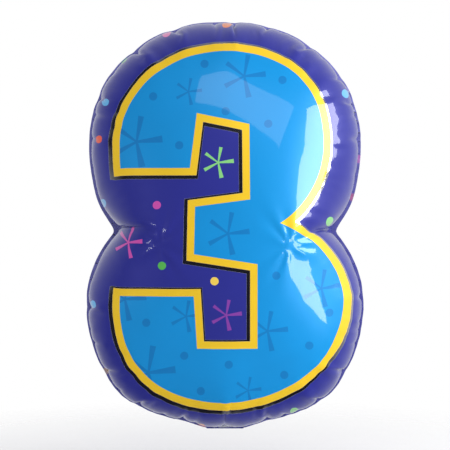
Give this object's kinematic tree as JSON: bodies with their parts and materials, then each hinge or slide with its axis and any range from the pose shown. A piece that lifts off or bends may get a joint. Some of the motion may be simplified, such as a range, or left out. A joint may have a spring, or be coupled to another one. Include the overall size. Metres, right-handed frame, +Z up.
{
  "type": "foil number balloon",
  "caption": "Inflated foil balloon with a figure-of-eight outline and a printed digit three, a welded seam, a folded filling tail and a flat self-sealing valve.",
  "frame": {"origin": "middle of the tail's fold line at the foot of the balloon, in the plane of the seam", "axes": "+Z up through the middle of both lobes, -Y out of the printed front panel, +X to the right of a viewer who faces the front panel"},
  "size_m": [0.4488, 0.3152, 0.6585],
  "materials": {
    "front_print": "printed ink and clear coat over aluminised film",
    "back_print": "printed ink and clear coat over aluminised film",
    "tail_foil": "printed ink over aluminised film, bare silver inside",
    "valve_film": "thin translucent polyethylene"
  },
  "bodies": {
    "envelope": {"front_panel": "front_print", "back_panel": "back_print", "valve_front_film": "valve_film"},
    "tail": {"tail_front_film": "tail_foil", "tail_back_film": "tail_foil"},
    "valve_flap": {"valve_back_film": "valve_film"}
  },
  "joints": [
    {"name": "tail_fold", "type": "hinge", "parent": "envelope", "child": "tail", "pos_m": [0, 0, 0], "axis": [-1, 0, 0], "range_deg": [0, 176]},
    {"name": "valve_flap_open", "type": "hinge", "parent": "envelope", "child": "valve_flap", "pos_m": [0, 0.00035, 0.0067], "axis": [-1, 0, 0], "range_deg": [0, 6]}
  ]
}
